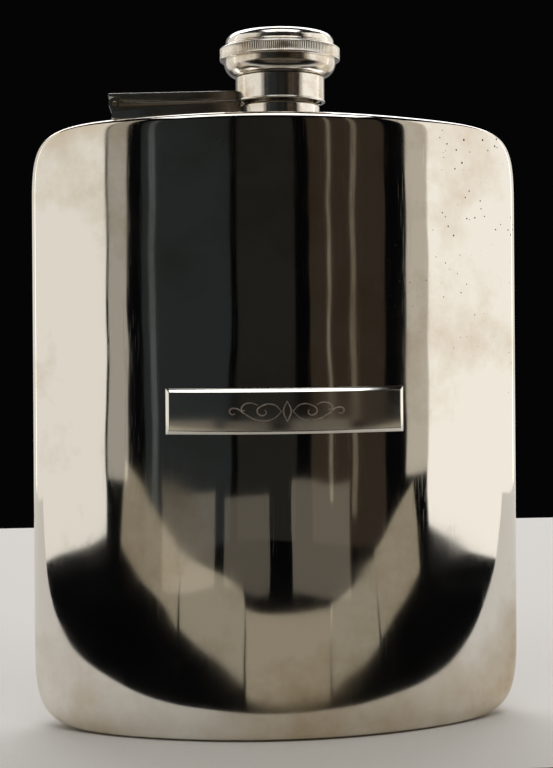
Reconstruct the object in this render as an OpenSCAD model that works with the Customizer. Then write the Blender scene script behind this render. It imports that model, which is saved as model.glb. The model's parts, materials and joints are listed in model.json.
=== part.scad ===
// Curved pocket flask with a captive bayonet cap on a hinged arm.
// X runs across the flask, the front faces -Y and +Z is up. The origin is on
// the base, straight below the axis of the neck. Millimetres.

/* [Body] */
// Width across the shoulders
body_w = 114; // [108:1:120]
// Height from the base to the crown of the shoulder
body_h = 140; // [125:1:155]
// Depth of the front wall in front of the neck axis
front_y = 11; // [10.5:0.5:13]
// Depth of the back wall behind the neck axis
back_y = 10; // [9.5:0.5:12]
// Radius of the bowed front, seen from above
front_r = 92; // [88:1:104]
// Radius of the rounded long edges, seen from above
edge_r = 6; // [5:0.5:6.5]
// Radius of the four corners, seen from the front
corner_r = 13; // [10:0.5:16]
// Radius of the gentle arch along the shoulder
arch_r = 620; // [560:10:900]
// Thickness of the stamped sheet
wall = 0.7; // [0.6:0.1:0.9]

/* [Plaque] */
// Width of the applied plaque
plaque_w = 54; // [40:1:60]
// Height of the applied plaque
plaque_h = 10.2; // [8:0.2:14]
// Thickness of the applied plaque
plaque_t = 0.9; // [0.6:0.1:1.2]
// Height of the plaque's centre above the base
plaque_z = 73.3; // [50:0.1:100]

/* [Neck and cap] */
// Radius of the mouth
mouth_r = 7; // [6.6:0.1:7.1]
// Height of the mouth's rim above the shoulder
rim_h = 7.8; // [7.6:0.1:8]
// Radius of the ring round the foot of the neck
neck_ring_r = 9; // [8.8:0.1:9.2]
// Radius of the collar that carries the cap
collar_r = 10.1; // [10:0.05:10.2]
// Radius of the reeded grip ring
grip_r = 13.75; // [13.4:0.05:14.5]
// Turn from the open position of the bayonet to the locked one
lock_angle = 75; // [60:1:80]

/* [Hinge] */
// Distance of the hinge pin from the neck axis
pin_x = 37.6; // [34:0.1:38]
// Distance of the arm's middle behind the neck axis
hinge_y = 0.6; // [0:0.1:2]
// Rise of the arm towards the cap, in degrees
slope = 1.7; // [1:0.1:2.5]
// Width of the hinge bar and of the arm
bar_w = 4.2; // [4:0.1:5]
// Radius of the hinge knuckles
knuckle_r = 1.3; // [1.2:0.05:1.35]
// Radius of the hinge pin
pin_r = 0.55; // [0.45:0.05:0.6]
// Thickness of the arm
arm_t = 2; // [1.9:0.05:2.2]

/* [Hidden] */
$fn = 96;
fine = 256;        // facets of the large circles of the body
over = 1;          // how far a cutter runs past what it cuts

silver = [0.86, 0.85, 0.82];
inner_metal = [0.78, 0.72, 0.58];
cork = [0.72, 0.52, 0.33];

// Plan of the body, seen from above: a front arc, a hollow back arc and round ends.
front_c = front_r - front_y;                       // centre of the front arc
end_x = body_w / 2 - edge_r;                       // centres of the round ends
end_y = front_c - sqrt(pow(front_r - edge_r, 2) - pow(end_x, 2));
back_rise = end_y - back_y;
back_r = (pow(end_x, 2) + pow(back_rise, 2) - pow(edge_r, 2)) / (2 * (edge_r + back_rise));
back_c = back_y + back_r;                          // centre of the back arc
mid_y = (back_y - front_y) / 2;                    // seam at the neck, between the walls
seam_rise = end_y + 0.4 - mid_y;
seam_r = (pow(end_x, 2) + pow(seam_rise, 2)) / (2 * seam_rise);
max_depth = 60;                                    // deeper than the body
reach = 30;                                        // further out than any rounded corner
blend = 0.04;                                      // lets each rounding cross its neighbour cleanly

// Outline of the body, seen from the front. Its sides stand just outside the
// round ends, so that it trims the corners, the base and the shoulder.
side_spare = 0.4;
corner_x = body_w / 2 + side_spare - corner_r;
arch_c = body_h - arch_r;                          // centre of the shoulder's arch
top_z = arch_c + sqrt(pow(arch_r - corner_r, 2) - pow(corner_x, 2));

// Neck, from the inside out and from the shoulder up.
tube_t = 0.7;
tube_r = mouth_r + tube_t;
rim_z = body_h + rim_h;
tube_foot_z = body_h - wall - 1;
lip_r = 0.4;                                       // radius of the mouth's rolled edge
saddle_r = 9.3;
saddle_t = 0.9;
neck_ring_h = 2.5;
neck_ring_round = 0.8;
lug_r = 0.7;
lug_tip = 9;                                       // distance of the lug tips from the axis
lug_z = body_h + 5.1;

// Collar, which the arm carries.
bead_z = body_h + 2.9;
bead_h = 0.45;
bead_r = collar_r + 0.2;
collar_z = bead_z + bead_h;
collar_top = body_h + 8.55;
collar_t = 0.6;
bush_t = 0.35;
bush_h = 0.8;

// Cap.
socket_t = 0.6;
socket_r = collar_r - collar_t - bush_t - 0.05;    // turns in the bush with 0.05 mm to spare
socket_z = collar_z;
slot_gap = 0.15;
slot_w = 2.4;
slot_top = lug_z + lug_r + slot_gap;
slot_floor = lug_z - lug_r - slot_gap;
slot_spare = 7;                                    // degrees of slot past the locked lug
bowl_z = collar_top + 0.1;
bowl_t = 0.6;
bowl_r = 3.3;                                      // radius of the bowl's round flank
bowl_side_h = 0.4;                                 // straight part above that flank
bowl_c = 9.4;                                      // distance of that flank's centre from the axis
grip_z = bowl_z + bowl_r + bowl_side_h;
grip_h = 2.85;
grip_inner_r = 11.4;
grip_round = 0.5;
crown_z = grip_z + grip_h;
crown_r = 12.5;
crown_side_h = 1.2;
crown_lean = 0.15;                                 // how far the crown's side leans in
crown_round = 2.05;
crown_dome_r = 106;                                // radius of the slightly domed top
crown_t = 0.6;
crown_c = crown_r - crown_lean - crown_round;      // centre of the crown's rounded shoulder
cork_r = socket_r - socket_t - 0.05;
cork_gap = 0.1;
disc_z = body_h + 10.4;
disc_r = 11;
disc_t = 0.6;
ring_t = 0.35;
ring_h = 0.6;
ring_z = collar_top - bush_h - ring_h - 0.1;
ring_gap = 1.2;

// Hinge. Its parts are drawn in a frame whose origin is the pin and whose
// X axis follows the slope of the shoulder.
pin_z = body_h + 2.45;
knuckle_w = 1.8;                                    // middle knuckle, on the arm
knuckle_gap = 0.1;
run_gap = 0.05;                                    // radial play of the arm on the pin
arm_gap = 0.25;                                    // between the closed arm and the bar
lip_gap = 0.15;                                    // between the arm's end and the knuckles
foot_lean = 0.6;                                   // how far the end of the bar leans in at its foot
bar_h = pin_z - body_h + 2 * over;                 // reaches below the shoulder, which trims it

function unit(v) = v / norm(v);

// A slice of a disc between two directions less than half a turn apart.
module slice(centre, r, from, to) {
    intersection() {
        translate(centre) circle(r);
        polygon([centre, centre + reach * from, centre + reach * unit(from + to),
                 centre + reach * to]);
    }
}

// The body's plan, taken in from its surface by inset.
module plan(inset = 0) {
    end = [end_x, end_y];
    to_front = unit(end - [0, front_c]);
    to_back = unit([0, back_c] - end);
    half = [[end_x, -max_depth], end + reach * to_front, end, end + reach * to_back];
    difference() {
        intersection() {
            translate([0, front_c]) circle(front_r - inset, $fn = fine);
            union() {
                polygon(concat(half, [for (i = [3:-1:0]) [-half[i].x, half[i].y]]));
                for (turn = [0, 1]) mirror([turn, 0])
                    slice(end, edge_r + blend - inset, to_front, to_back);
            }
        }
        translate([0, back_c]) circle(back_r + inset, $fn = fine);
    }
}

// The body's outline from the front, taken in from its surface by inset.
module outline(inset = 0) {
    foot = [corner_x, corner_r];
    top = [corner_x, top_z];
    r = corner_r + blend - inset;
    to_arch = unit(top - [0, arch_c]);
    half = [[corner_x, -over], foot, foot + [r, 0], top + [r, 0], top, top + reach * to_arch];
    intersection() {
        translate([0, arch_c]) circle(arch_r - inset, $fn = fine * 4);
        translate([-body_w, inset]) square(2 * body_w);
        union() {
            polygon(concat(half, [for (i = [5:-1:0]) [-half[i].x, half[i].y]]));
            for (turn = [0, 1]) mirror([turn, 0]) {
                slice(foot, r, [0, -1], [1, 0]);
                slice(top, r, [1, 0], to_arch);
            }
        }
    }
}

// A front outline carried through the full depth of the body.
module through_depth() {
    translate([0, max_depth / 2, 0]) rotate([90, 0, 0]) linear_extrude(max_depth) children();
}

module body_solid(inset = 0) {
    intersection() {
        translate([0, 0, -over]) linear_extrude(body_h + 2 * over) plan(inset);
        through_depth() outline(inset);
    }
}

module body_wall() {
    difference() {
        body_solid();
        body_solid(wall);
        translate([0, 0, body_h / 2]) cylinder(r = tube_r, h = body_h);
    }
}

// Everything behind the curved seam between the two shells.
module behind_seam() {
    translate([0, mid_y + seam_r, -over])
        cylinder(r = seam_r, h = body_h + 2 * over, $fn = fine);
}

module front_shell() color(silver) difference() {
    body_wall();
    behind_seam();
}

module back_shell() color(silver) intersection() {
    body_wall();
    behind_seam();
}

module plaque() color(silver) intersection() {
    translate([0, front_c, plaque_z - plaque_h / 2]) difference() {
        cylinder(r = front_r + plaque_t, h = plaque_h, $fn = fine);
        translate([0, 0, -over]) cylinder(r = front_r, h = plaque_h + 2 * over, $fn = fine);
    }
    translate([-plaque_w / 2, -front_y - 2 * plaque_t, plaque_z - plaque_h])
        cube([plaque_w, front_y, 2 * plaque_h]);
}

// A ring round the neck axis, from one radius to another, from z up by h.
module ring(inner, outer, z, h) {
    translate([0, 0, z]) difference() {
        cylinder(r = outer, h = h);
        translate([0, 0, -over]) cylinder(r = inner, h = h + 2 * over);
    }
}

module neck_tube() color(silver) ring(mouth_r, tube_r, tube_foot_z, rim_z - tube_foot_z);

// Rolled edge round the mouth: a half-round wire on the outside of the tube.
module neck_lip() color(silver) rotate_extrude() intersection() {
    translate([tube_r, rim_z - lip_r]) circle(lip_r, $fn = 48);
    translate([tube_r, rim_z - 2 * lip_r]) square(2 * lip_r);
}

// Washer under the shoulder that ties both shells to the neck.
module neck_saddle() color(inner_metal)
    ring(tube_r, saddle_r, tube_foot_z, saddle_t);

module neck_ring() color(silver) rotate_extrude() translate([tube_r, body_h]) {
    width = neck_ring_r - tube_r;
    square([width, neck_ring_h - neck_ring_round]);
    square([width - neck_ring_round, neck_ring_h]);
    slice([width - neck_ring_round, neck_ring_h - neck_ring_round], neck_ring_round,
          [1, 0], [0, 1]);
}

module bayonet_lugs() color(silver) difference() {
    for (side = [0, 180])
        rotate([90, 0, side]) translate([0, lug_z, 0]) cylinder(r = lug_r, h = lug_tip);
    translate([0, 0, lug_z - 2 * lug_r]) cylinder(r = tube_r, h = 4 * lug_r);
}

// Places a profile drawn in the hinge's frame, w wide, and centred on the arm.
module hinge_place(w) {
    translate([-pin_x, hinge_y + w / 2, pin_z]) rotate([0, -slope, 0]) rotate([90, 0, 0])
        linear_extrude(w) children();
}

module bar_profile() {
    circle(knuckle_r);
    polygon([[0, 0], 0.98 * knuckle_r * [-cos(20), -sin(20)], [-knuckle_r + foot_lean, -bar_h],
             [pin_x - neck_ring_r + over, -bar_h], [pin_x - neck_ring_r + over, 0]]);
}

module hinge_bar() color(silver) difference() {
    hinge_place(bar_w) bar_profile();
    // room for the arm's knuckle, the pin, the shoulder, the neck ring and the collar
    hinge_place(knuckle_w + 2 * knuckle_gap) circle(knuckle_r + lip_gap);
    hinge_place(bar_w + 2 * over) circle(pin_r);
    translate([0, 0, arch_c]) rotate([90, 0, 0])
        cylinder(r = arch_r, h = max_depth, center = true, $fn = fine * 4);
    translate([0, 0, body_h - over]) cylinder(r = neck_ring_r, h = neck_ring_h + 2 * over);
    translate([0, 0, bead_z - 0.35]) cylinder(r = bead_r + 0.3, h = corner_r);
}

module hinge_pin() color(inner_metal) hinge_place(bar_w) circle(pin_r);

module arm_profile() {
    top = arm_gap + arm_t;
    lip = knuckle_r + lip_gap;
    polygon([[-knuckle_r, lip], [0.9, lip], [2, arm_gap], [pin_x, arm_gap], [pin_x, top],
             [-knuckle_r, top]]);
}

module hinge_arm() color(silver) difference() {
    union() {
        hinge_place(bar_w) arm_profile();
        hinge_place(knuckle_w) {
            circle(knuckle_r);
            polygon([[-0.2, 0], [-0.2, arm_t], [2.3, arm_t], [2.3, arm_gap], [1.25, arm_gap]]);
        }
    }
    hinge_place(knuckle_w + over) circle(pin_r + run_gap);
    translate([0, 0, body_h]) cylinder(r = collar_r, h = 2 * corner_r);
    translate([0, 0, body_h]) cylinder(r = bead_r, h = collar_z - body_h);
}

module collar() color(silver) ring(collar_r - collar_t, collar_r, collar_z, collar_top - collar_z);

module collar_bead() color(silver) rotate_extrude() intersection() {
    translate([collar_r - collar_t, bead_z]) square([bead_r - collar_r + collar_t, bead_h]);
    translate([bead_r - bead_h, bead_z + bead_h / 2]) union() {
        circle(bead_h, $fn = 48);
        translate([-bead_h - collar_t, -bead_h]) square([bead_h + collar_t, 2 * bead_h]);
    }
}

module swivel_bush() color(inner_metal)
    ring(collar_r - collar_t - bush_t, collar_r - collar_t, collar_top - bush_h, bush_h);

// Outside of the crown in section, taken in from its surface by inset.
module crown_section(inset = 0) {
    side_r = crown_r - crown_lean - inset;
    shoulder_z = crown_z + crown_side_h;
    top_rise = crown_dome_r - sqrt(pow(crown_dome_r, 2) - pow(crown_c, 2));
    polygon([[0, crown_z - over * sign(inset)], [crown_r - inset, crown_z - over * sign(inset)],
             [crown_r - inset, crown_z], [side_r, shoulder_z], [0, shoulder_z]]);
    intersection() {
        translate([crown_c, shoulder_z]) circle(crown_round - inset);
        translate([crown_c, shoulder_z - over]) square(crown_r);
    }
    translate([0, shoulder_z - over]) square([crown_c, crown_round + over - inset]);
    intersection() {
        translate([0, shoulder_z + crown_round + top_rise - crown_dome_r])
            circle(crown_dome_r - inset, $fn = fine * 4);
        translate([0, shoulder_z]) square([crown_c, crown_r]);
    }
}

module cap_crown() color(silver) rotate_extrude() difference() {
    crown_section();
    crown_section(crown_t);
}

module grip_ring() color(silver) rotate_extrude() translate([grip_inner_r, grip_z]) {
    width = grip_r - grip_inner_r;
    square([width - grip_round, grip_h]);
    translate([0, grip_round]) square([width, grip_h - 2 * grip_round]);
    for (z = [grip_round, grip_h - grip_round])
        translate([width - grip_round, z]) circle(grip_round, $fn = 48);
}

// Underside of the cap: a flat floor round the socket and a flank that bellies out.
module cap_bowl() color(silver) rotate_extrude() {
    translate([socket_r, bowl_z]) square([bowl_c - socket_r, bowl_t]);
    intersection() {
        translate([bowl_c, grip_z - bowl_side_h]) difference() {
            circle(bowl_r);
            circle(bowl_r - bowl_t);
        }
        translate([bowl_c, bowl_z]) square(bowl_r);
    }
    translate([bowl_c + bowl_r - bowl_t, grip_z - bowl_side_h]) square([bowl_t, bowl_side_h]);
}

// Inner socket of the cap, with two L-shaped slots for the lugs.
module bayonet_tube() color(inner_metal) difference() {
    ring(socket_r - socket_t, socket_r, socket_z, disc_z - socket_z);
    for (side = [0, 180]) rotate([0, 0, side - 90]) {
        translate([0, -slot_w / 2, socket_z - over])
            cube([collar_r, slot_w, slot_top - socket_z + over]);
        rotate_extrude(angle = lock_angle + slot_spare)
            translate([cork_r - over, slot_floor]) square([4, slot_top - slot_floor]);
    }
}

// Split ring under the bush, which keeps the cap in the collar.
module retaining_ring() color(inner_metal) difference() {
    ring(socket_r, socket_r + ring_t, ring_z, ring_h);
    translate([0, -ring_gap / 2, ring_z - over]) cube([collar_r, ring_gap, ring_h + 2 * over]);
}

module backing_disc() color(inner_metal) translate([0, 0, disc_z]) cylinder(r = disc_r, h = disc_t);

module cork_seal() color(cork)
    translate([0, 0, rim_z + cork_gap]) cylinder(r = cork_r, h = disc_z - rim_z - cork_gap);

front_shell();
back_shell();
plaque();
neck_tube();
neck_lip();
neck_saddle();
neck_ring();
bayonet_lugs();
hinge_bar();
hinge_pin();
hinge_arm();
collar();
collar_bead();
swivel_bush();
cap_crown();
grip_ring();
cap_bowl();
bayonet_tube();
retaining_ring();
backing_disc();
cork_seal();
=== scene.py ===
import json
import math

import bmesh
import bpy
from mathutils import Matrix, Vector


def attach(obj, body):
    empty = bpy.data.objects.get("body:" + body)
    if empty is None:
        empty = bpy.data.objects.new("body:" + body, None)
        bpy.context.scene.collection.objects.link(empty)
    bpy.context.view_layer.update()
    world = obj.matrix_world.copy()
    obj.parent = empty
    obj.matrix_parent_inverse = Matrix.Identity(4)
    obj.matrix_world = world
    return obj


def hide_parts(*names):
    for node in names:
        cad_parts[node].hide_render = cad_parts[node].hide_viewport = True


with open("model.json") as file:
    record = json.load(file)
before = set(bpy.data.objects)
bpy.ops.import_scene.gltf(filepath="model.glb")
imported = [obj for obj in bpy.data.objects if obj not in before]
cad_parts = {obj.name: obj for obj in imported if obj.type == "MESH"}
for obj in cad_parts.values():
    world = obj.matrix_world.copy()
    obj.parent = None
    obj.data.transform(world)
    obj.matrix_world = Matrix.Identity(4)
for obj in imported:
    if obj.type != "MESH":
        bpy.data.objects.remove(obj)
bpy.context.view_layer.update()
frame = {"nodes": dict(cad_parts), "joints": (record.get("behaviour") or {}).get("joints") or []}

nodes = frame["nodes"]
mm = 0.001      # pieces are modelled in millimetres, and finishPiece makes them metres
weldGap = 0.0005        # vertices closer than this, in millimetres, are one
hingeJoint = [joint for joint in frame["joints"] if joint["name"] == "arm_swing"][0]
pinPlace = [value / mm for value in hingeJoint["pos_m"]]
print("frame loaded")


# Helpers for modelling.

# leaves edit mode if need be, with nothing selected
def deselectAll():
    if bpy.context.object and bpy.context.object.mode != "OBJECT":
        bpy.ops.object.mode_set(mode="OBJECT")
    for thing in list(bpy.context.selected_objects):
        thing.select_set(False)


def makeActive(piece):
    deselectAll()
    piece.select_set(True)
    bpy.context.view_layer.objects.active = piece


def editPiece(piece):
    makeActive(piece)
    bpy.ops.object.mode_set(mode="EDIT")
    bpy.ops.mesh.select_mode(type="VERT")


def leaveEdit():
    bpy.ops.object.mode_set(mode="OBJECT")


# selects the vertices of the piece in edit mode whose place passes the test
def pickVertices(piece, test):
    bpy.ops.mesh.select_mode(type="VERT")
    bpy.ops.mesh.select_all(action="DESELECT")
    mesh = bmesh.from_edit_mesh(piece.data)
    for vertex in mesh.verts:
        vertex.select = test(vertex.co)
    mesh.select_flush(True)
    bmesh.update_edit_mesh(piece.data)


# selects the faces whose centre and normal pass the test
def pickFaces(piece, test):
    bpy.ops.mesh.select_mode(type="FACE")
    bpy.ops.mesh.select_all(action="DESELECT")
    mesh = bmesh.from_edit_mesh(piece.data)
    for face in mesh.faces:
        face.select = test(face.calc_center_median(), face.normal)
    bmesh.update_edit_mesh(piece.data)


# points on an arc in the plane of a section, angles in degrees
def arcPoints(centreX, centreZ, radius, start, end, count):
    found = []
    for i in range(count + 1):
        angle = math.radians(start + (end - start) * i / count)
        found.append((centreX + radius * math.cos(angle), centreZ + radius * math.sin(angle)))
    return found


# draws a chain of edges through section points, standing in the XZ plane
def drawOutline(name, outline, y=0.0):
    deselectAll()
    bpy.ops.mesh.primitive_plane_add(size=1, location=(0, 0, 0))
    piece = bpy.context.active_object
    piece.name = piece.data.name = name
    editPiece(piece)
    bpy.ops.mesh.select_all(action="SELECT")
    bpy.ops.mesh.merge(type="CENTER")
    bpy.ops.transform.translate(value=(outline[0][0], y, outline[0][1]))
    for (x0, z0), (x1, z1) in zip(outline, outline[1:]):
        bpy.ops.mesh.extrude_vertices_move(TRANSFORM_OT_translate={"value": (x1 - x0, 0, z1 - z0)})
    return piece


# a closed section turned all round the neck axis
def turnSection(name, section, steps):
    piece = drawOutline(name, section + [section[0]])
    bpy.ops.mesh.select_all(action="SELECT")
    bpy.ops.mesh.spin(steps=steps, angle=math.tau, center=(0, 0, 0), axis=(0, 0, 1))
    closeMesh()
    return piece


# merges doubled vertices and points all faces outwards
def closeMesh():
    bpy.ops.mesh.select_all(action="SELECT")
    bpy.ops.mesh.remove_doubles(threshold=weldGap)
    bpy.ops.mesh.normals_make_consistent(inside=False)
    leaveEdit()


# a flat section given a width along Y, centred on y
def extrudeSection(name, section, y, width):
    piece = drawOutline(name, section, y - width / 2)
    bpy.ops.mesh.select_all(action="SELECT")
    bpy.ops.mesh.edge_face_add()
    bpy.ops.mesh.extrude_region_move(TRANSFORM_OT_translate={"value": (0, width, 0)})
    closeMesh()
    return piece


# adds a modifier with its settings and applies it at once
def applyModifier(piece, kind, **settings):
    makeActive(piece)
    modifier = piece.modifiers.new(kind.lower(), kind)
    for name, value in settings.items():
        setattr(modifier, name, value)
    bpy.ops.object.modifier_apply(modifier=modifier.name)


# rounds the edges sharper than the angle, which is in degrees
def softenEdges(piece, width, segments=2, angle=30):
    applyModifier(piece, "BEVEL", width=width, segments=segments, limit_method="ANGLE",
                  angle_limit=math.radians(angle), harden_normals=False)


# joins the tool to the piece or cuts it out, and takes the tool away
def combine(piece, tool, operation):
    applyModifier(piece, "BOOLEAN", operation=operation, object=tool, solver="EXACT")
    bpy.data.objects.remove(tool)


# turns and moves a piece that was drawn round the hinge's pin into its place
def placeAtHinge(piece):
    piece.rotation_euler = (0, -math.radians(hinge["slope"]), 0)
    piece.location = pinPlace
    makeActive(piece)
    bpy.ops.object.transform_apply(location=True, rotation=True, scale=True)


# makes a piece metres, smooths it, gives it its metal and its body, and hides the CAD nodes that
# it replaces
def finishPiece(piece, body, slotName, finish, *replaced, smoothAngle=32):
    makeActive(piece)
    piece.scale = (mm, mm, mm)
    bpy.ops.object.transform_apply(location=True, rotation=True, scale=True)
    bpy.ops.object.shade_smooth_by_angle(angle=math.radians(smoothAngle))
    piece.data.materials.clear()
    piece.data.materials.append(finish)
    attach(piece, body)
    if replaced:
        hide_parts(*replaced)
    return piece


# Materials: one function for each finish, colours as sRGB hex values.

# sRGB hex to linear, with a full alpha
def toLinear(hexColour):
    channels = [int(hexColour[i:i + 2], 16) / 255 for i in (1, 3, 5)]
    return tuple(c / 12.92 if c <= 0.04045 else ((c + 0.055) / 1.055) ** 2.4
                 for c in channels) + (1.0,)


# adds a node; values go to its inputs or its properties, links come from other nodes' outputs
def addNode(tree, kind, values=None, links=None, ramp=None):
    node = tree.nodes.new("ShaderNode" + kind)
    for name, value in (values or {}).items():
        if isinstance(name, int) or name in node.inputs:
            node.inputs[name].default_value = value
        else:
            setattr(node, name, value)
    for name, source in (links or {}).items():
        tree.links.new(source, node.inputs[name])
    for i, (place, colour) in enumerate(ramp or []):
        elements = node.color_ramp.elements
        element = elements[i] if i < len(elements) else elements.new(place)
        element.position, element.color = place, colour
    return node


def grey(value):
    return (value, value, value, 1.0)


def newMaterial(name):
    material = bpy.data.materials.new(name)
    material.use_nodes = True
    material.node_tree.nodes.clear()
    return material, material.node_tree


# What years of use do to all of the plate, lengths in millimetres. Real pits and scratches
# are finer, and these are as coarse as they need to be to show.
wear = {
    # tarnish that is added from the first height to the second
    "shoulder": (112, 142, 0.12), "base": (35, 2, 0.16), "tarnishEdge": 0.3,
    "haze": (0.3, 0.75),
    # pits come in clusters, most of them towards one corner
    "pitCluster": 16, "pitCount": (0.34, 0.6), "pitRough": 0.35,
    "pitTowards": (9.0, 0.0, 12.0), "pitReach": (1.0, 1.9),
    # tilt and turn in degrees, and width, of three runs of scratches
    "scratches": ((12, 0, 0.10), (-38, 25, 0.12), (71, -20, 0.09)),
    "scratchLength": 14, "scratchEdge": 0.08, "wornPatch": 22, "cutDepth": 0.02,
}


# Silver plate: electroplated, buffed bright, handled for decades. Mirror-like, with a warm
# tone where it has tarnished, hair-fine scratches in all directions and a few pits.
def silverPlate(name, look):
    material, tree = newMaterial(name)
    place = addNode(tree, "TexCoord").outputs["Object"]
    # tarnish gathers in soft patches and in bands towards the shoulder and the base
    patches = addNode(tree, "TexNoise", {"Scale": 1 / (look["patchSize"] * mm), "Detail": 6.0,
                                         "Roughness": 0.62}, {"Vector": place}).outputs["Fac"]
    axes = addNode(tree, "SeparateXYZ", links={"Vector": place})
    high, low = [addNode(tree, "MapRange", {"From Min": start * mm, "From Max": end * mm,
                                            "To Max": added},
                         {"Value": axes.outputs["Z"]}).outputs["Result"]
                 for start, end, added in (wear["shoulder"], wear["base"])]
    ends = addNode(tree, "Math", {"operation": "MAXIMUM"}, {0: high, 1: low}).outputs[0]
    dirty = addNode(tree, "Math", {"operation": "ADD"}, {0: patches, 1: ends}).outputs[0]
    tarnish = addNode(tree, "ValToRGB", links={"Fac": dirty},
                      ramp=[(look["tarnishFrom"], grey(0)),
                            (look["tarnishFrom"] + wear["tarnishEdge"], grey(1))])
    tone = addNode(tree, "Mix", {"data_type": "RGBA", 6: toLinear(look["clean"]),
                                 7: toLinear(look["tarnished"])},
                   {"Factor": tarnish.outputs["Color"]}).outputs[2]
    # pits a third of a millimetre across, in clusters
    spots = addNode(tree, "TexVoronoi", {"Scale": 1 / (look["pitSpacing"] * mm)},
                    {"Vector": place}).outputs["Distance"]
    clusters = addNode(tree, "TexNoise", {"Scale": 1 / (wear["pitCluster"] * mm), "Detail": 2.0},
                       {"Vector": place}).outputs["Fac"]
    few, many = wear["pitCount"]
    pitEdge = addNode(tree, "MapRange", {"From Min": few, "From Max": many,
                                         "To Max": look["pitSize"]},
                      {"Value": clusters}).outputs["Result"]
    # they have eaten in most on the upper right, where the plating is thin
    exposed = addNode(tree, "VectorMath", {"operation": "DOT_PRODUCT", 1: wear["pitTowards"]},
                      {0: place}).outputs["Value"]
    near, far = wear["pitReach"]
    thin = addNode(tree, "MapRange", {"From Min": near, "From Max": far},
                   {"Value": exposed}).outputs["Result"]
    pitEdge = addNode(tree, "Math", {"operation": "MULTIPLY"}, {0: pitEdge, 1: thin}).outputs[0]
    pits = addNode(tree, "Math", {"operation": "LESS_THAN"}, {0: spots, 1: pitEdge}).outputs[0]
    pitted = addNode(tree, "Mix", {"data_type": "RGBA", 7: toLinear(look["pit"])},
                     {"Factor": pits, 6: tone}).outputs[2]
    # scratches run in three directions; each is a stretched noise with only its peaks kept
    marks = None
    along = 1 / (wear["scratchLength"] * mm)
    for tilt, turn, across in wear["scratches"]:
        run = addNode(tree, "Mapping", {"Rotation": (0, math.radians(tilt), math.radians(turn)),
                                        "Scale": (1 / (across * mm), along, along)},
                      {"Vector": place}).outputs["Vector"]
        lines = addNode(tree, "TexNoise", {"Scale": 1.0, "Detail": 1.5}, {"Vector": run})
        peaks = addNode(tree, "MapRange", {"From Min": look["scratchFrom"],
                                           "From Max": look["scratchFrom"] + wear["scratchEdge"]},
                        {"Value": lines.outputs["Fac"]}).outputs["Result"]
        marks = peaks if marks is None else addNode(tree, "Math", {"operation": "MAXIMUM"},
                                                    {0: marks, 1: peaks}).outputs[0]
    worn = addNode(tree, "TexNoise", {"Scale": 1 / (wear["wornPatch"] * mm), "Detail": 3.0},
                   {"Vector": place}).outputs["Fac"]
    fewer = addNode(tree, "Math", {"operation": "MULTIPLY"}, {0: marks, 1: worn}).outputs[0]
    bright, dull = wear["haze"]
    haze = addNode(tree, "MapRange", {"From Min": bright, "From Max": dull,
                                      "To Min": look["gloss"][0], "To Max": look["gloss"][1]},
                   {"Value": dirty}).outputs["Result"]
    scratched = addNode(tree, "Math", {"operation": "MULTIPLY_ADD", 1: look["scratchRough"]},
                        {0: fewer, 2: haze}).outputs[0]
    roughness = addNode(tree, "Math", {"operation": "MULTIPLY_ADD", 1: wear["pitRough"]},
                        {0: pits, 2: scratched}).outputs[0]
    # hand-raised sheet is never quite even: a slow ripple bends the reflections
    ripple = addNode(tree, "TexNoise", {"Scale": 1 / (look["rippleSize"] * mm), "Detail": 1.0},
                     {"Vector": place}).outputs["Fac"]
    bend = addNode(tree, "Bump", {"Strength": 1.0, "Distance": look["ripple"] * mm},
                   {"Height": ripple}).outputs["Normal"]
    cut = addNode(tree, "Math", {"operation": "ADD"}, {0: fewer, 1: pits}).outputs[0]
    relief = addNode(tree, "Bump", {"Strength": look["scratchDepth"], "invert": True,
                                    "Distance": wear["cutDepth"] * mm},
                     {"Height": cut, "Normal": bend})
    shader = addNode(tree, "BsdfPrincipled", {"Metallic": 1.0},
                     {"Base Color": pitted, "Roughness": roughness,
                      "Normal": relief.outputs["Normal"]})
    addNode(tree, "OutputMaterial", links={"Surface": shader.outputs["BSDF"]})
    return material


silverLooks = {
    "bodySilver": {"clean": "#EAE7E0", "tarnished": "#C4B49A", "pit": "#5A4330", "patchSize": 34,
                   "tarnishFrom": 0.52, "pitSpacing": 1.6, "pitSize": 0.17, "scratchFrom": 0.69,
                   "scratchRough": 0.10, "scratchDepth": 0.05, "gloss": (0.022, 0.085),
                   "rippleSize": 26, "ripple": 0.2},
    "capSilver": {"clean": "#ECE8E0", "tarnished": "#C0AC90", "pit": "#5A4330", "patchSize": 7,
                  "tarnishFrom": 0.58, "pitSpacing": 1.1, "pitSize": 0.12, "scratchFrom": 0.70,
                  "scratchRough": 0.1, "scratchDepth": 0.05, "gloss": (0.11, 0.2),
                  "rippleSize": 9, "ripple": 0.012},
    "brightSilver": {"clean": "#F1EEE8", "tarnished": "#CDBDA0", "pit": "#6A5340", "patchSize": 9,
                     "tarnishFrom": 0.6, "pitSpacing": 1.3, "pitSize": 0.1, "scratchFrom": 0.70,
                     "scratchRough": 0.1, "scratchDepth": 0.05, "gloss": (0.10, 0.17),
                     "rippleSize": 12, "ripple": 0.01},
}
bodySilver = silverPlate("buffedSilverPlate", silverLooks["bodySilver"])
capSilver = silverPlate("turnedSilverPlate", silverLooks["capSilver"])
brightSilver = silverPlate("brightSilverPlate", silverLooks["brightSilver"])


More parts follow.
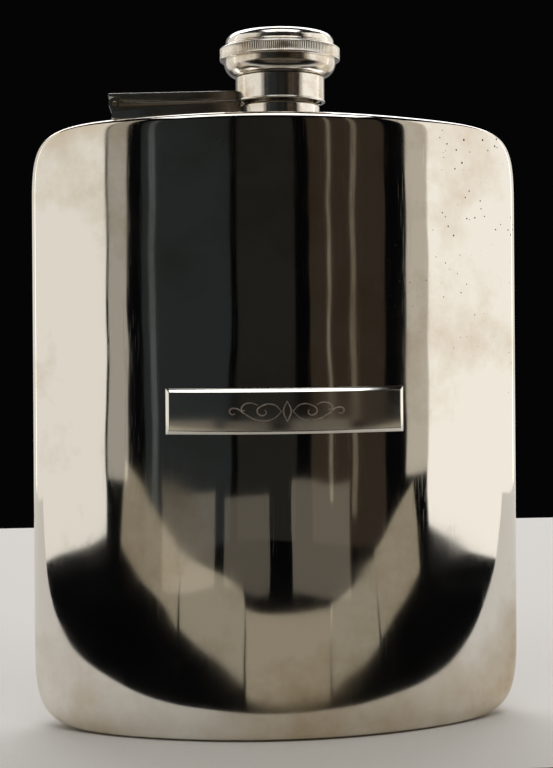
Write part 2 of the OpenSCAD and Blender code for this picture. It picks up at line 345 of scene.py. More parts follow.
# Nickel silver, turned or drawn, unplated. Fine rings from the tool and a dull film where
# fingers never reach. Gloss is a pair of roughness values, the rings' spacing in millimetres.
def turnedMetal(name, clean, film, gloss, ringSpacing):
    material, tree = newMaterial(name)
    place = addNode(tree, "TexCoord").outputs["Object"]
    cloud = addNode(tree, "TexNoise", {"Scale": 1 / (4 * mm), "Detail": 5.0}, {"Vector": place})
    tone = addNode(tree, "ValToRGB", links={"Fac": cloud.outputs["Fac"]},
                   ramp=[(0.35, toLinear(clean)), (0.75, toLinear(film))])
    # a wave texture of scale 1 repeats every 0.314 of a unit
    rings = addNode(tree, "TexWave", {"bands_direction": "Z", "Distortion": 0.6,
                                      "Scale": 0.314 / (ringSpacing * mm)}, {"Vector": place})
    dull = addNode(tree, "MapRange", {"From Min": 0.3, "From Max": 0.8, "To Min": gloss[0],
                                      "To Max": gloss[1]},
                   {"Value": cloud.outputs["Fac"]}).outputs["Result"]
    grooves = addNode(tree, "Bump", {"Strength": 0.25, "Distance": 0.01 * mm},
                      {"Height": rings.outputs["Fac"]})
    shader = addNode(tree, "BsdfPrincipled", {"Metallic": 1.0},
                     {"Base Color": tone.outputs["Color"], "Roughness": dull,
                      "Normal": grooves.outputs["Normal"]})
    addNode(tree, "OutputMaterial", links={"Surface": shader.outputs["BSDF"]})
    return material


nickelSilver = turnedMetal("turnedNickelSilver", "#CFC7B0", "#9A8B6B", (0.2, 0.38), 0.25)
drawnWire = turnedMetal("drawnNickelWire", "#D2C9B6", "#9A8C72", (0.24, 0.42), 0.3)


# Engraved silver: the cuts are matt and a little pink with old polish, so that they read
# as soft lines in the mirror round them.
def engravedMetal(name):
    material, tree = newMaterial(name)
    place = addNode(tree, "TexCoord").outputs["Object"]
    grime = addNode(tree, "TexNoise", {"Scale": 1 / (0.8 * mm), "Detail": 4.0}, {"Vector": place})
    tone = addNode(tree, "ValToRGB", links={"Fac": grime.outputs["Fac"]},
                   ramp=[(0.3, toLinear("#C4B2A6")), (0.7, toLinear("#EBDFD3"))])
    grit = addNode(tree, "Bump", {"Strength": 0.4, "Distance": 0.02 * mm},
                   {"Height": grime.outputs["Fac"]})
    dull = addNode(tree, "MapRange", {"To Min": 0.42, "To Max": 0.6},
                   {"Value": grime.outputs["Fac"]}).outputs["Result"]
    shader = addNode(tree, "BsdfPrincipled", {"Metallic": 1.0},
                     {"Base Color": tone.outputs["Color"], "Roughness": dull,
                      "Normal": grit.outputs["Normal"]})
    addNode(tree, "OutputMaterial", links={"Surface": shader.outputs["BSDF"]})
    return material


engraving = engravedMetal("engravedSilver")


# Natural cork, sliced: pale tan cells half a millimetre wide with dark lenticels, matt.
def naturalCork(name):
    material, tree = newMaterial(name)
    place = addNode(tree, "TexCoord").outputs["Object"]
    cells = addNode(tree, "TexVoronoi", {"Scale": 1 / (0.5 * mm)}, {"Vector": place})
    pores = addNode(tree, "TexNoise", {"Scale": 1 / (1.6 * mm), "Detail": 4.0}, {"Vector": place})
    tone = addNode(tree, "ValToRGB", links={"Fac": pores.outputs["Fac"]},
                   ramp=[(0.34, toLinear("#5E3B20")), (0.46, toLinear("#A9773F")),
                         (0.8, toLinear("#C99B63"))])
    walls = addNode(tree, "Mix", {"data_type": "RGBA", "blend_type": "MULTIPLY", "Factor": 0.3},
                    {6: tone.outputs["Color"], 7: cells.outputs["Distance"]}).outputs[2]
    relief = addNode(tree, "Bump", {"Strength": 0.5, "Distance": 0.1 * mm},
                     {"Height": pores.outputs["Fac"]})
    shader = addNode(tree, "BsdfPrincipled", {"Roughness": 0.85, "IOR": 1.45},
                     {"Base Color": walls, "Normal": relief.outputs["Normal"]})
    addNode(tree, "OutputMaterial", links={"Surface": shader.outputs["BSDF"]})
    return material


cork = naturalCork("slicedCork")
print("materials made")


# The body is one cushion-edged panel, thinner towards its sides, bowed, and cut in two
# at the seam.
shell = {
    "bowRadius": 92.0,        # radius of the bowed front
    "halfDepth": 10.5,        # half the depth at the middle
    "middle": 70.0,           # height of the panel's middle
    "panel": (55.5, 66.4),    # half width and half height of the flat part of the cage,
    "edge": (61.0, 70.0),     # of the front of its rounded edge
    "side": (63.82, 70.0),    # and of its sides
    "edgeDepth": 3.7,         # how deep the rounded edge reaches
    "columns": (1.0, 1.2, 1.0),     # the columns half way out stand nearer the sides,
    "rows": (1.0, 1.09, 1.09, 1.0),  # and the rows nearer the ends, which tightens the corners
    "taper": (1.0, 0.83, 0.571),    # share of the depth at the middle, half way and the sides
    "arch": (0.42, -1.0, -2.1),     # rise of the shoulder in the same three places
    "wall": 0.7,
    "frontY": -11.0,          # where the bow's foremost line stands, behind the plaque
    "smoothing": 4,
}


# the closed panel, with a second material slot on its back half
def buildBody():
    deselectAll()
    bpy.ops.mesh.primitive_grid_add(x_subdivisions=4, y_subdivisions=6, size=2, location=(0, 0, 0),
                                    rotation=(math.pi / 2, 0, 0))
    body = bpy.context.active_object
    body.name = "bodyFront"
    makeActive(body)
    bpy.ops.object.transform_apply(location=True, rotation=True, scale=True)
    width, height = shell["panel"]
    editPiece(body)
    bpy.ops.mesh.select_all(action="SELECT")
    bpy.ops.transform.resize(value=(width, 1, height))
    bpy.ops.transform.translate(value=(0, -shell["halfDepth"], 0))
    # the border is drawn out in three steps: to the edge, round it and back to the seam
    for (newWidth, newHeight), back in ((shell["edge"], 0), (shell["side"], shell["edgeDepth"]),
                                        (shell["side"], shell["halfDepth"] - shell["edgeDepth"])):
        bpy.ops.mesh.select_all(action="DESELECT")
        bpy.ops.mesh.select_mode(type="EDGE")
        bpy.ops.mesh.select_non_manifold(extend=False, use_wire=False, use_multi_face=False,
                                         use_non_contiguous=False, use_verts=False)
        bpy.ops.mesh.extrude_edges_move(TRANSFORM_OT_translate={"value": (0, back, 0)})
        bpy.ops.transform.resize(value=(newWidth / width, 1, newHeight / height),
                                 center_override=(0, 0, 0))
        width, height = newWidth, newHeight
    leaveEdit()
    nearly = 0.01
    applyModifier(body, "MIRROR", use_axis=(False, True, False), merge_threshold=nearly)
    editPiece(body)
    bpy.ops.mesh.select_all(action="SELECT")
    bpy.ops.mesh.normals_make_consistent(inside=False)
    bpy.ops.transform.translate(value=(0, shell["halfDepth"], shell["middle"]))
    # shoulder arch on the upper border, then the taper of the depth, column by column
    middle = shell["middle"]
    for row, spread in enumerate(shell["rows"]):
        pickVertices(body, lambda co: round(3 * abs(co.z - middle) / middle) == row)
        bpy.ops.transform.resize(value=(1, 1, spread), center_override=(0, 0, middle))
    for column, (rise, share, spread) in enumerate(zip(shell["arch"], shell["taper"],
                                                       shell["columns"])):
        inColumn = lambda co, c=column: round(2 * abs(co.x) / shell["side"][0]) == c
        pickVertices(body, lambda co: inColumn(co) and co.z > 2 * middle - nearly)
        bpy.ops.transform.translate(value=(0, 0, rise))
        pickVertices(body, inColumn)
        bpy.ops.transform.resize(value=(spread, share, 1), center_override=(0, 0, 0))
    leaveEdit()
    # faces behind the middle of the depth, which shrinks towards the sides, are the back half
    body.data.materials.append(bodySilver)
    body.data.materials.append(brightSilver)
    atMiddle, halfWay, atSide = shell["taper"]
    for face in body.data.polygons:
        column = min(2.0, 2 * abs(face.center.x) / shell["side"][0])
        share = atMiddle + (halfWay - atMiddle) * min(column, 1)
        share += (atSide - halfWay) * max(column - 1, 0)
        face.material_index = 1 if face.center.y > shell["halfDepth"] * share else 0
    applyModifier(body, "SUBSURF", levels=shell["smoothing"], render_levels=shell["smoothing"])
    applyModifier(body, "SIMPLE_DEFORM", deform_method="BEND", deform_axis="Z",
                  angle=body.dimensions.x / shell["bowRadius"])
    editPiece(body)
    bpy.ops.mesh.select_all(action="SELECT")
    bpy.ops.transform.translate(value=(0, shell["frontY"], 0))
    leaveEdit()
    return body


# radii and heights of the neck; the shells are opened for it, so it is set out first
neck = {
    "bore": 7.0, "tube": 7.7, "foot": 138.3, "rim": 147.8, "lip": 0.4, "rimSoften": 0.15,
    "ring": 9.0, "ringTop": 142.5, "ringRound": 0.8, "ringFoot": 139.6,
    "cutterLength": 10, "cutterMiddle": 139.8,      # the tool that opens the shells
    "turns": 144,
}


# parts the panel into a front and a back half, hollows them and opens them for the neck
def splitBody(body):
    editPiece(body)
    bpy.ops.mesh.select_all(action="SELECT")
    bpy.ops.mesh.separate(type="MATERIAL")
    leaveEdit()
    back = [half for half in bpy.context.selected_objects if half != body][0]
    back.name = back.data.name = "bodyBack"
    for half in (body, back):
        applyModifier(half, "SOLIDIFY", thickness=shell["wall"], offset=-1, use_even_offset=True)
        deselectAll()
        bpy.ops.mesh.primitive_cylinder_add(vertices=neck["turns"], radius=neck["tube"],
                                            depth=neck["cutterLength"],
                                            location=(0, 0, neck["cutterMiddle"]))
        combine(half, bpy.context.active_object, "DIFFERENCE")
    return body, back


for half, node in zip(splitBody(buildBody()), ("front_shell", "back_shell")):
    finishPiece(half, "flask", "silver_plate", bodySilver, node)
print("body made")


# The plaque is a bevelled plate that follows the bow, with a plain scroll in its face.
plaque = {
    "size": (54.0, 10.2), "height": 73.3, "thickness": 0.9,
    "edge": 0.3, "bevel": 0.85, "soften": 0.07,     # upright edge, then a sloping border
    "columns": 48,
    "stroke": 0.15, "strokeEnds": 0.45, "strokeSwell": 0.75, "relief": 0.3,
}


# bends a flat piece on to the body's front
def bowPiece(piece):
    applyModifier(piece, "SIMPLE_DEFORM", deform_method="BEND", deform_axis="Z",
                  angle=piece.dimensions.x / shell["bowRadius"])
    piece.location = (0, shell["frontY"], 0)
    makeActive(piece)
    bpy.ops.object.transform_apply(location=True, rotation=True, scale=True)


def buildPlaque():
    deselectAll()
    wide, tall = plaque["size"]
    bpy.ops.mesh.primitive_grid_add(x_subdivisions=plaque["columns"], y_subdivisions=1, size=2,
                                    location=(0, 0, 0), rotation=(math.pi / 2, 0, 0))
    plate = bpy.context.active_object
    plate.name = plate.data.name = "namePlaque"
    makeActive(plate)
    bpy.ops.object.transform_apply(location=True, rotation=True, scale=True)
    editPiece(plate)
    bpy.ops.mesh.select_all(action="SELECT")
    bpy.ops.transform.resize(value=(wide / 2, 1, tall / 2))
    bpy.ops.transform.translate(value=(0, 0, plaque["height"]))
    bpy.ops.mesh.extrude_region_move(TRANSFORM_OT_translate={"value": (0, -plaque["edge"], 0)})
    rise = plaque["thickness"] - plaque["edge"]
    bpy.ops.mesh.inset(thickness=plaque["bevel"], depth=0, use_boundary=True)
    bpy.ops.transform.translate(value=(0, -rise, 0))
    closeMesh()
    softenEdges(plate, plaque["soften"], 2, 20)
    bowPiece(plate)
    return plate


# half of a symmetrical scroll: three curling strokes either side of a small lozenge
scroll = [
    [(1.2, 0.0), (3.0, 1.5), (5.4, 1.3), (6.6, 0.1), (5.6, -0.9), (4.6, -0.3), (4.9, 0.4)],
    [(1.2, 0.0), (3.2, -1.7), (6.6, -1.9), (9.2, -0.6), (11.2, 0.7), (12.6, 0.3), (12.2, -0.6),
     (11.4, -0.5)],
    [(6.4, 1.4), (8.2, 1.9), (9.8, 1.2), (9.9, 0.3), (9.2, 0.3)],
    [(0.0, 2.3), (0.85, 0.0), (0.0, -2.3)],
]


def buildScroll():
    deselectAll()
    curve = bpy.data.curves.new("plaqueScroll", "CURVE")
    curve.dimensions = "3D"
    curve.bevel_depth = plaque["stroke"]
    curve.bevel_resolution = 1
    curve.resolution_u = 8
    for side in (1, -1):
        for stroke in scroll:
            spline = curve.splines.new("BEZIER")
            spline.bezier_points.add(len(stroke) - 1)
            for i, ((x, z), point) in enumerate(zip(stroke, spline.bezier_points)):
                point.co = (side * x, 0, z)
                point.handle_left_type = point.handle_right_type = "AUTO"
                swell = math.sin(math.pi * (i + 0.35) / len(stroke))
                point.radius = plaque["strokeEnds"] + plaque["strokeSwell"] * swell
    strokes = bpy.data.objects.new("plaqueScroll", curve)
    bpy.context.scene.collection.objects.link(strokes)
    makeActive(strokes)
    bpy.ops.object.convert(target="MESH")
    strokes = bpy.context.active_object
    editPiece(strokes)
    bpy.ops.mesh.select_all(action="SELECT")
    bpy.ops.mesh.normals_make_consistent(inside=False)
    # flattened, so that only the tops of the strokes stand in the plaque's face
    bpy.ops.transform.resize(value=(1, plaque["relief"], 1), center_override=(0, 0, 0))
    bpy.ops.transform.translate(value=(0, -plaque["thickness"], plaque["height"]))
    leaveEdit()
    bowPiece(strokes)
    return strokes


finishPiece(buildPlaque(), "flask", "bright_silver", brightSilver, "plaque")
finishPiece(buildScroll(), "flask", "bright_silver", engraving)
print("plaque made")


# The neck is a tube with a rolled mouth, and a ring round its foot.

tube = turnSection("neckTube", [(neck["bore"], neck["foot"]), (neck["tube"], neck["foot"]),
                                (neck["tube"], neck["rim"] - 2 * neck["lip"])]
                   + arcPoints(neck["tube"], neck["rim"] - neck["lip"], neck["lip"], -80, 90, 8)
                   + [(neck["bore"] + neck["rimSoften"], neck["rim"]),
                      (neck["bore"], neck["rim"] - neck["rimSoften"])], neck["turns"])
finishPiece(tube, "flask", "silver_plate", capSilver, "neck_tube", "neck_lip")

ringBend = neck["ringTop"] - neck["ringRound"]
footRing = turnSection("neckRing", [(neck["tube"], neck["ringFoot"]),
                                    (neck["ring"], neck["ringFoot"]), (neck["ring"], ringBend)]
                       + arcPoints(neck["ring"] - neck["ringRound"], ringBend,
                                   neck["ringRound"], 6, 90, 8)
                       + [(neck["tube"], neck["ringTop"])], neck["turns"])
finishPiece(footRing, "flask", "bright_silver", brightSilver, "neck_ring")
print("neck made")


# The hinge is a fixed bar with two knuckles, a pin, and the arm with the middle knuckle.
# Its pieces are drawn round the pin, along a level arm, and then put in place.
hinge = {
    "slope": 1.7,               # degrees that the arm falls towards its pin
    "width": 4.2, "middle": 1.8, "gap": 0.1,    # the whole, the middle knuckle, its play
    "knuckle": 1.3, "boss": 0.1, "bore": 0.6, "pin": 0.55,
    "barTop": [(1.75, 0.0), (1.5, 0.06)],       # where the bar runs up to the knuckle
    "barEnd": [(0.6, -2.0), (0.55, -3.3)],      # its tapered end, in from the knuckle
    "barSink": 0.6,                             # how much deeper it goes by the neck
    "armGap": 0.25, "armThickness": 2.0, "lipGap": 0.15,
    "lipRoot": 0.9, "armRoot": 2.0,             # where the thin lip grows into the arm
    "lug": [(2.3, 1.9), (-0.2, 1.9)], "lugNeck": 1.28,
    "barWeld": 0.05, "armWeld": 0.3, "overlap": 0.02,   # how far pieces run into each other
    "drillSpare": 1.0, "soften": 0.12,
    # the pin's end is set in a little, and its dome rises in three rings
    "pinShort": 0.1, "pinDome": ((0.08, 0.042), (0.14, 0.024), (0.16, 0.018)),
}
pinToAxis = -pinPlace[0]


# a cylinder round the pin's axis
def pinCylinder(radius, width, turns=40):
    deselectAll()
    bpy.ops.mesh.primitive_cylinder_add(vertices=turns, radius=radius, depth=width,
                                        location=(0, 0, 0), rotation=(math.pi / 2, 0, 0))
    return bpy.context.active_object


def buildBar():
    knuckle = hinge["knuckle"]
    right = pinToAxis - neck["ring"] + hinge["barWeld"]
    foot = hinge["barEnd"][-1][1]
    section = ([(right, foot - hinge["barSink"]), (right, 0.0)] + hinge["barTop"]
               + arcPoints(0, 0, knuckle, 20, 200, 22)
               + [(x - knuckle, z) for x, z in hinge["barEnd"]])
    bar = extrudeSection("hingeBar", section, 0, hinge["width"])
    # bosses at both ends of the pin, a slot for the middle knuckle, and the pin's hole
    combine(bar, pinCylinder(knuckle - hinge["overlap"], hinge["width"] + 2 * hinge["boss"]),
            "UNION")
    combine(bar, pinCylinder(knuckle + hinge["lipGap"], hinge["middle"] + 2 * hinge["gap"]),
            "DIFFERENCE")
    combine(bar, pinCylinder(hinge["bore"], hinge["width"] + hinge["drillSpare"]), "DIFFERENCE")
    softenEdges(bar, hinge["soften"] / 2)
    placeAtHinge(bar)
    return bar


def buildArm(collarRadius):
    knuckle, foot = hinge["knuckle"], hinge["armGap"]
    top = foot + hinge["armThickness"]
    lip = knuckle + hinge["lipGap"]
    right = pinToAxis - collarRadius + hinge["armWeld"]
    arm = extrudeSection("hingeArm", [(-knuckle, lip), (hinge["lipRoot"], lip),
                                      (hinge["armRoot"], foot), (right, foot), (right, top),
                                      (-knuckle, top)], 0, hinge["width"])
    lugFoot = foot + hinge["overlap"]
    lug = extrudeSection("armKnuckle", [(hinge["lug"][0][0], lugFoot)] + hinge["lug"]
                         + arcPoints(0, 0, knuckle, 99, 360, 30)
                         + [(hinge["lugNeck"], lugFoot)], 0, hinge["middle"])
    combine(arm, lug, "UNION")
    combine(arm, pinCylinder(hinge["bore"], hinge["middle"] + hinge["drillSpare"]), "DIFFERENCE")
    softenEdges(arm, hinge["soften"])
    placeAtHinge(arm)
    return arm


# the pin's ends are riveted to low domes
def buildPin():
    pin = pinCylinder(hinge["pin"], hinge["width"] - hinge["pinShort"], 32)
    pin.name = pin.data.name = "hingePin"
    makeActive(pin)
    bpy.ops.object.transform_apply(location=True, rotation=True, scale=True)
    editPiece(pin)
    for side in (-1, 1):
        pickFaces(pin, lambda centre, normal: normal.y * side > 0.9)
        for inset, rise in hinge["pinDome"]:
            bpy.ops.mesh.inset(thickness=inset, depth=0)
            bpy.ops.transform.translate(value=(0, side * rise, 0))
    closeMesh()
    placeAtHinge(pin)
    return pin


# The collar is a plain sleeve on the arm, with a bright bead round its lower end.
collar = {
    "radius": 10.1, "wall": 0.6, "foot": 143.35, "top": 148.55, "soften": 0.12,
    "beadFoot": 142.9, "beadRadius": 10.3,
    "turns": 144,
}
collarInside = collar["radius"] - collar["wall"]

finishPiece(buildBar(), "flask", "silver_plate", capSilver, "hinge_bar")
finishPiece(buildPin(), "flask", "pin_metal", drawnWire, "hinge_pin")
finishPiece(buildArm(collar["radius"]), "arm", "silver_plate", capSilver, "hinge_arm")
sleeveTop, sleeveSide = collar["top"] - collar["soften"], collar["radius"] - collar["soften"]
sleeve = turnSection("collarSleeve", [(collarInside, collar["foot"]),
                                      (collar["radius"], collar["foot"]),
                                      (collar["radius"], sleeveTop), (sleeveSide, collar["top"]),
                                      (collarInside, collar["top"])], collar["turns"])
finishPiece(sleeve, "arm", "silver_plate", capSilver, "collar")

beadMiddle = (collar["beadFoot"] + collar["foot"]) / 2
beadRound = (collar["foot"] - collar["beadFoot"]) / 2
bead = turnSection("collarBead", [(collarInside, collar["foot"]),
                                  (collarInside, collar["beadFoot"])]
                   + arcPoints(collar["beadRadius"] - beadRound, beadMiddle, beadRound,
                               -90, 90, 12), collar["turns"])
finishPiece(bead, "arm", "bright_silver", brightSilver, "collar_bead")
print("hinge and collar made")


# The cap is a bellied bowl, a fluted grip ring and a domed crown, with a cork inside.
cap = {
    "bowlFoot": 148.65, "bowlMiddle": 9.4, "bowlRound": 3.3, "bowlWall": 0.6,
    "socket": 9.1, "socketSoften": 0.1,
    "ringFoot": 152.35, "ringTop": 155.2, "ringInside": 11.4, "ringRadius": 13.72,
    "ringRounds": (0.42, 0.25),                 # of its lower and upper edge
    "flutes": 192, "fluteDepth": 0.13, "fluteLand": 0.05, "fluteEnds": (0.1, 0.08),
    # from and to, as shares of a flute's angle, and the share of its depth
    "fluteShape": ((0.4, 0.6, 1.0), (0.2, 0.3, 0.55), (0.7, 0.8, 0.55)),
    "crown": 12.5, "crownSide": 1.2, "crownRound": 2.05, "crownDome": 106.0, "crownWall": 0.6,
    # the crown's foot, out from its radius and up from the ring, has a groove and a bead
    "crownGroove": [(-0.3, 0.0), (-0.38, 0.16), (-0.3, 0.28)],
    "crownBead": (-0.22, 0.52, 0.24), "crownInset": 0.15, "crownNeck": (0.08, 0.86),
    "corkRadius": 8.45, "corkFoot": 147.9, "corkTop": 150.4,
    # the cork's face is pressed flat by the rim of the mouth and stays hollow inside it:
    # up from its foot at the middle, in from the bore, and in from its own edge
    "corkHollow": 0.18, "corkInMouth": [(-0.6, 0.16), (-0.1, 0.05)],
    "corkRim": [(-0.3, 0.0), (-0.08, 0.1), (0.0, 0.4)],
    "turns": 160, "corkTurns": 96,
}


def buildBowl():
    foot, middle, radius = cap["bowlFoot"], cap["bowlMiddle"], cap["bowlRound"]
    wall, socket, soften = cap["bowlWall"], cap["socket"], cap["socketSoften"]
    height = foot + radius
    section = ([(socket, foot + wall), (socket, foot + soften), (socket + soften, foot)]
               + arcPoints(middle, height, radius, -90, 0, 18)
               + [(middle + radius, cap["ringFoot"]), (middle + radius - wall, cap["ringFoot"])]
               + arcPoints(middle, height, radius - wall, 0, -90, 14))
    return turnSection("capBowl", section, cap["turns"])


# one flute is turned through its own small angle, pressed in and then repeated all round
def buildGripRing():
    foot, top, radius = cap["ringFoot"], cap["ringTop"], cap["ringRadius"]
    low, high = cap["ringRounds"]
    fluteFoot, fluteTop = foot + low, top - high
    land, (endLow, endHigh) = radius - cap["fluteLand"], cap["fluteEnds"]
    section = ([(cap["ringInside"], top), (cap["ringInside"], foot)]
               + arcPoints(radius - low, foot + low, low, -90, -6, 7)
               + [(land, fluteFoot + endLow), (land, fluteTop - endHigh)]
               + arcPoints(radius - high, fluteTop, high, 8, 90, 5))
    ring = drawOutline("gripRing", section + [section[0]])
    flute = math.tau / cap["flutes"]
    bpy.ops.mesh.select_all(action="SELECT")
    bpy.ops.mesh.spin(steps=4, angle=flute, center=(0, 0, 0), axis=(0, 0, 1))
    inside = radius - 2 * cap["fluteLand"]
    onSide = lambda co: math.hypot(co.x, co.y) > inside and fluteFoot < co.z < fluteTop
    turned = lambda co: abs(math.atan2(co.y, co.x)) / flute
    for start, end, depth in cap["fluteShape"]:
        pickVertices(ring, lambda co: onSide(co) and start < turned(co) < end)
        share = 1 - cap["fluteDepth"] * depth / radius
        bpy.ops.transform.resize(value=(share, share, 1), center_override=(0, 0, 0))
    bpy.ops.mesh.select_all(action="SELECT")
    bpy.ops.mesh.remove_doubles(threshold=weldGap)
    bpy.ops.mesh.select_all(action="SELECT")
    bpy.ops.mesh.spin(steps=cap["flutes"], dupli=True, angle=math.tau, center=(0, 0, 0),
                      axis=(0, 0, 1))
    closeMesh()
    return ring


def buildCrown():
    base, radius, wall = cap["ringTop"], cap["crown"], cap["crownWall"]
    shoulder, bend = base + cap["crownSide"], cap["crownRound"]
    side = radius - cap["crownInset"]
    middle = side - bend
    dome = cap["crownDome"]
    rise = dome - math.sqrt(dome ** 2 - middle ** 2)
    domeMiddle = shoulder + bend + rise - dome
    tilt = math.degrees(math.asin(middle / dome))
    beadIn, beadUp, beadRadius = cap["crownBead"]
    neckIn, neckUp = cap["crownNeck"]
    section = ([(radius - wall, base)] + [(radius + x, base + z) for x, z in cap["crownGroove"]]
               + arcPoints(radius + beadIn, base + beadUp, beadRadius, -70, 70, 6)
               + [(side - neckIn, base + neckUp), (side, shoulder)]
               + arcPoints(middle, shoulder, bend, 8, 90 - tilt, 12)
               + arcPoints(0, domeMiddle, dome, 90 - tilt, 90, 10)[1:]
               + arcPoints(0, domeMiddle, dome - wall, 90, 90 - tilt, 8)
               + arcPoints(middle, shoulder, bend - wall, 90 - tilt, 0, 8)[1:])
    return turnSection("capCrown", section, cap["turns"])


def buildCork():
    radius, foot, top = cap["corkRadius"], cap["corkFoot"], cap["corkTop"]
    section = ([(0.0, foot + cap["corkHollow"])]
               + [(neck["bore"] + x, foot + z) for x, z in cap["corkInMouth"]]
               + [(radius + x, foot + z) for x, z in cap["corkRim"]]
               + [(radius, top), (0.0, top)])
    return turnSection("corkSeal", section, cap["corkTurns"])


finishPiece(buildBowl(), "cap", "silver_plate", capSilver, "cap_bowl")
finishPiece(buildGripRing(), "cap", "silver_plate", capSilver, "grip_ring", smoothAngle=50)
finishPiece(buildCrown(), "cap", "silver_plate", capSilver, "cap_crown")
finishPiece(buildCork(), "cap", "cork", cork, "cork_seal")
print("cap made")

# the inner fittings keep their own shapes and only get their metal
for node, finish in (("bayonet_tube", nickelSilver), ("backing_disc", nickelSilver),
                     ("swivel_bush", nickelSilver), ("neck_saddle", nickelSilver),
                     ("bayonet_lugs", nickelSilver), ("retaining_ring", drawnWire)):
    nodes[node].data.materials.clear()
    nodes[node].data.materials.append(finish)


# Floor, light and camera.
studio = {
    "floor": "#D9D6D0", "floorShade": "#D3D0CA", "fibre": 0.6,
    # the floor stops close in front, so that the lower body mirrors the dark room
    "floorFront": 35.0, "floorBack": 330.0, "floorSide": 480.0,
    "room": "#050506",
    "aimHeight": 80.0, "highLight": 500.0,      # lights above this are aimed at the flask
}


def buildFloor():
    deselectAll()
    bpy.ops.mesh.primitive_plane_add(size=2, location=(0, 0, 0))
    floor = bpy.context.active_object
    floor.name = "paperFloor"
    front, back = studio["floorFront"], studio["floorBack"]
    floor.scale = (studio["floorSide"] * mm, (front + back) / 2 * mm, 1)
    floor.location = (0, (back - front) / 2 * mm, 0)
    bpy.ops.object.transform_apply(location=True, rotation=True, scale=True)
    material, tree = newMaterial("matPaper")
    place = addNode(tree, "TexCoord").outputs["Object"]
    fibre = addNode(tree, "TexNoise", {"Scale": 1 / (studio["fibre"] * mm), "Detail": 4.0},
                    {"Vector": place})
    tone = addNode(tree, "ValToRGB", links={"Fac": fibre.outputs["Fac"]},
                   ramp=[(0.3, toLinear(studio["floorShade"])),
                         (0.7, toLinear(studio["floor"]))])
    shader = addNode(tree, "BsdfPrincipled", {"Roughness": 0.9},
                     {"Base Color": tone.outputs["Color"]})
    addNode(tree, "OutputMaterial", links={"Surface": shader.outputs["BSDF"]})
    floor.data.materials.append(material)


# Softboxes, and the dim cloth, cards and walls that a mirror-bright body shows. Each has its
# bearing from the front in degrees, the distance and height of its middle and its size in
# millimetres, its tilt in its own plane, its brightness and its colour.
softboxes = [
    ("leftSoftbox", -84, 700, 332, (800, 800), 0, 0.86, "#FFFAF2"),
    ("rightSoftbox", 84, 700, 332, (800, 800), 0, 1.05, "#FFFAF2"),
    ("leftRearSoftbox", -130, 700, 300, (520, 800), 0, 0.8, "#FFFAF2"),
    ("rightRearSoftbox", 130, 700, 300, (520, 800), 0, 0.9, "#FFFAF2"),
    ("leftStripe", -50.2, 720, 362, (84, 760), 0, 0.42, "#F0E8DA"),
    ("rightStripe", 50.3, 720, 362, (104, 760), 0, 0.58, "#F0E6D6"),
    ("leftSheet", -40.5, 420, -20, (146, 44), -18.7, 0.34, "#E8DAC0"),
    ("leftFold", -20, 421, -55, (162, 44), -8.3, 0.36, "#E8DCC4"),
    ("lowFold", 5.5, 422, -76, (215, 46), 0, 0.37, "#E8DAC0"),
    ("rightFold", 28, 421, -60, (122, 44), 10.2, 0.36, "#E8DCC4"),
    ("rightSheet", 43.5, 420, -28, (112, 44), 18.7, 0.36, "#E8DAC0"),
    ("leftCard", -28, 400, -14, (130, 52), 0, 0.15, "#E8DCC8"),
    ("middleCard", -8, 400, -16, (105, 46), 0, 0.11, "#E8DCC8"),
    ("rightCard", 17, 400, -14, (140, 54), 0, 0.14, "#E8DCC8"),
    ("leftWall", -27, 900, 250, (460, 700), 0, 0.04, "#B4C2C4"),
    ("middleWall", -1, 900, 250, (300, 700), 0, 0.03, "#B8B4A6"),
    ("rightWall", 26, 900, 250, (400, 700), 0, 0.06, "#BCA488"),
    ("doorEdge", 20, 880, 260, (16, 640), 0, 0.20, "#E8D8C0"),
    ("doorFrame", 28, 880, 260, (26, 660), 0, 0.16, "#D8C8B0"),
    ("curtain", -38, 880, 260, (30, 640), 0, 0.10, "#C8D0D0"),
    ("lowWall", 0, 400, -320, (760, 380), 0, 0.1, "#E4E0D8"),
    ("topSoftbox", 0, 420, 900, (900, 480), 0, 2.2, "#FFFFFF"),
    ("rearWall", 180, 900, 330, (1000, 800), 0, 0.22, "#F0F0F2"),
    ("rearSoftbox", 180, 600, 800, (1200, 700), 0, 2.6, "#F8F8FF"),
]


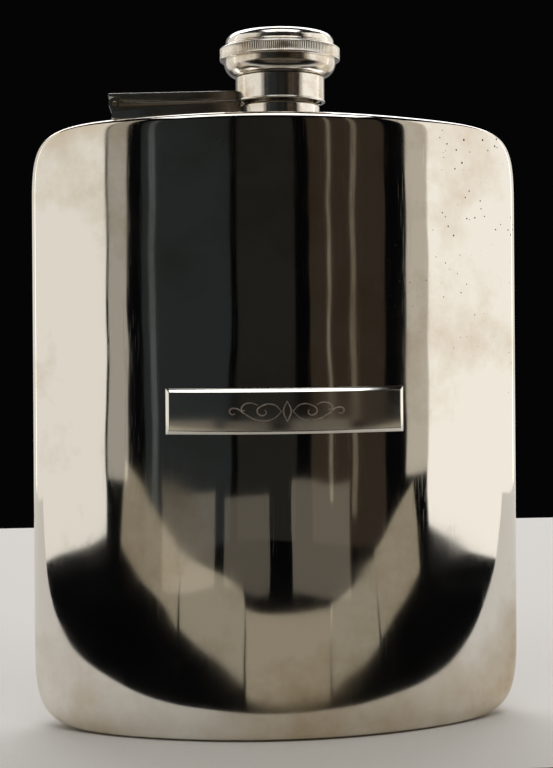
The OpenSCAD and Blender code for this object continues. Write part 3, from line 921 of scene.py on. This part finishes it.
def addSoftbox(name, bearing, distance, height, size, tilt, glow, colour):
    angle = math.radians(bearing)
    place = Vector((math.sin(angle) * distance, -math.cos(angle) * distance, height)) * mm
    deselectAll()
    bpy.ops.object.light_add(type="AREA", location=place)
    lamp = bpy.context.active_object
    lamp.name = name
    aim = Vector((0, 0, place.z if height < studio["highLight"] else studio["aimHeight"] * mm))
    turned = (aim - place).to_track_quat("-Z", "Y").to_matrix().to_4x4()
    lamp.rotation_euler = (turned @ Matrix.Rotation(math.radians(tilt), 4, "Z")).to_euler()
    lamp.data.shape = "RECTANGLE"
    lamp.data.size, lamp.data.size_y = size[0] * mm, size[1] * mm
    # the power that gives the light's face this brightness, whatever its size
    lamp.data.energy = glow * math.pi * lamp.data.size * lamp.data.size_y
    lamp.data.color = toLinear(colour)[:3]
    lamp.visible_camera = False


def buildRoom():
    room = bpy.data.worlds.new("darkRoom")
    room.use_nodes = True
    room.node_tree.nodes.clear()
    glow = addNode(room.node_tree, "Background", {"Color": toLinear(studio["room"])})
    addNode(room.node_tree, "OutputWorld", links={"Surface": glow.outputs["Background"]})
    bpy.context.scene.world = room
    bpy.context.scene.view_settings.view_transform = "Standard"


view = {
    "place": (-31.9, -333.3, 94.5), "turn": -5.37, "roll": -0.39,     # millimetres, degrees
    "sensor": 36, "lens": 68.67, "shift": (-0.0033, -0.0896), "near": 10.0,
}


def buildCamera():
    deselectAll()
    place = Vector(view["place"]) * mm
    bpy.ops.object.camera_add(location=place)
    camera = bpy.context.active_object
    turn = Matrix.Rotation(math.radians(view["turn"]), 4, "Z")
    roll = Matrix.Rotation(math.radians(view["roll"]), 4, "Z")
    camera.rotation_euler = (turn @ Matrix.Rotation(math.pi / 2, 4, "X") @ roll).to_euler()
    camera.data.sensor_width = view["sensor"]
    camera.data.lens = view["lens"]
    camera.data.shift_x, camera.data.shift_y = view["shift"]
    camera.data.clip_start = view["near"] * mm
    bpy.context.scene.camera = camera


buildFloor()
for softbox in softboxes:
    addSoftbox(*softbox)
buildRoom()
buildCamera()
print("studio made")

bpy.context.view_layer.update()
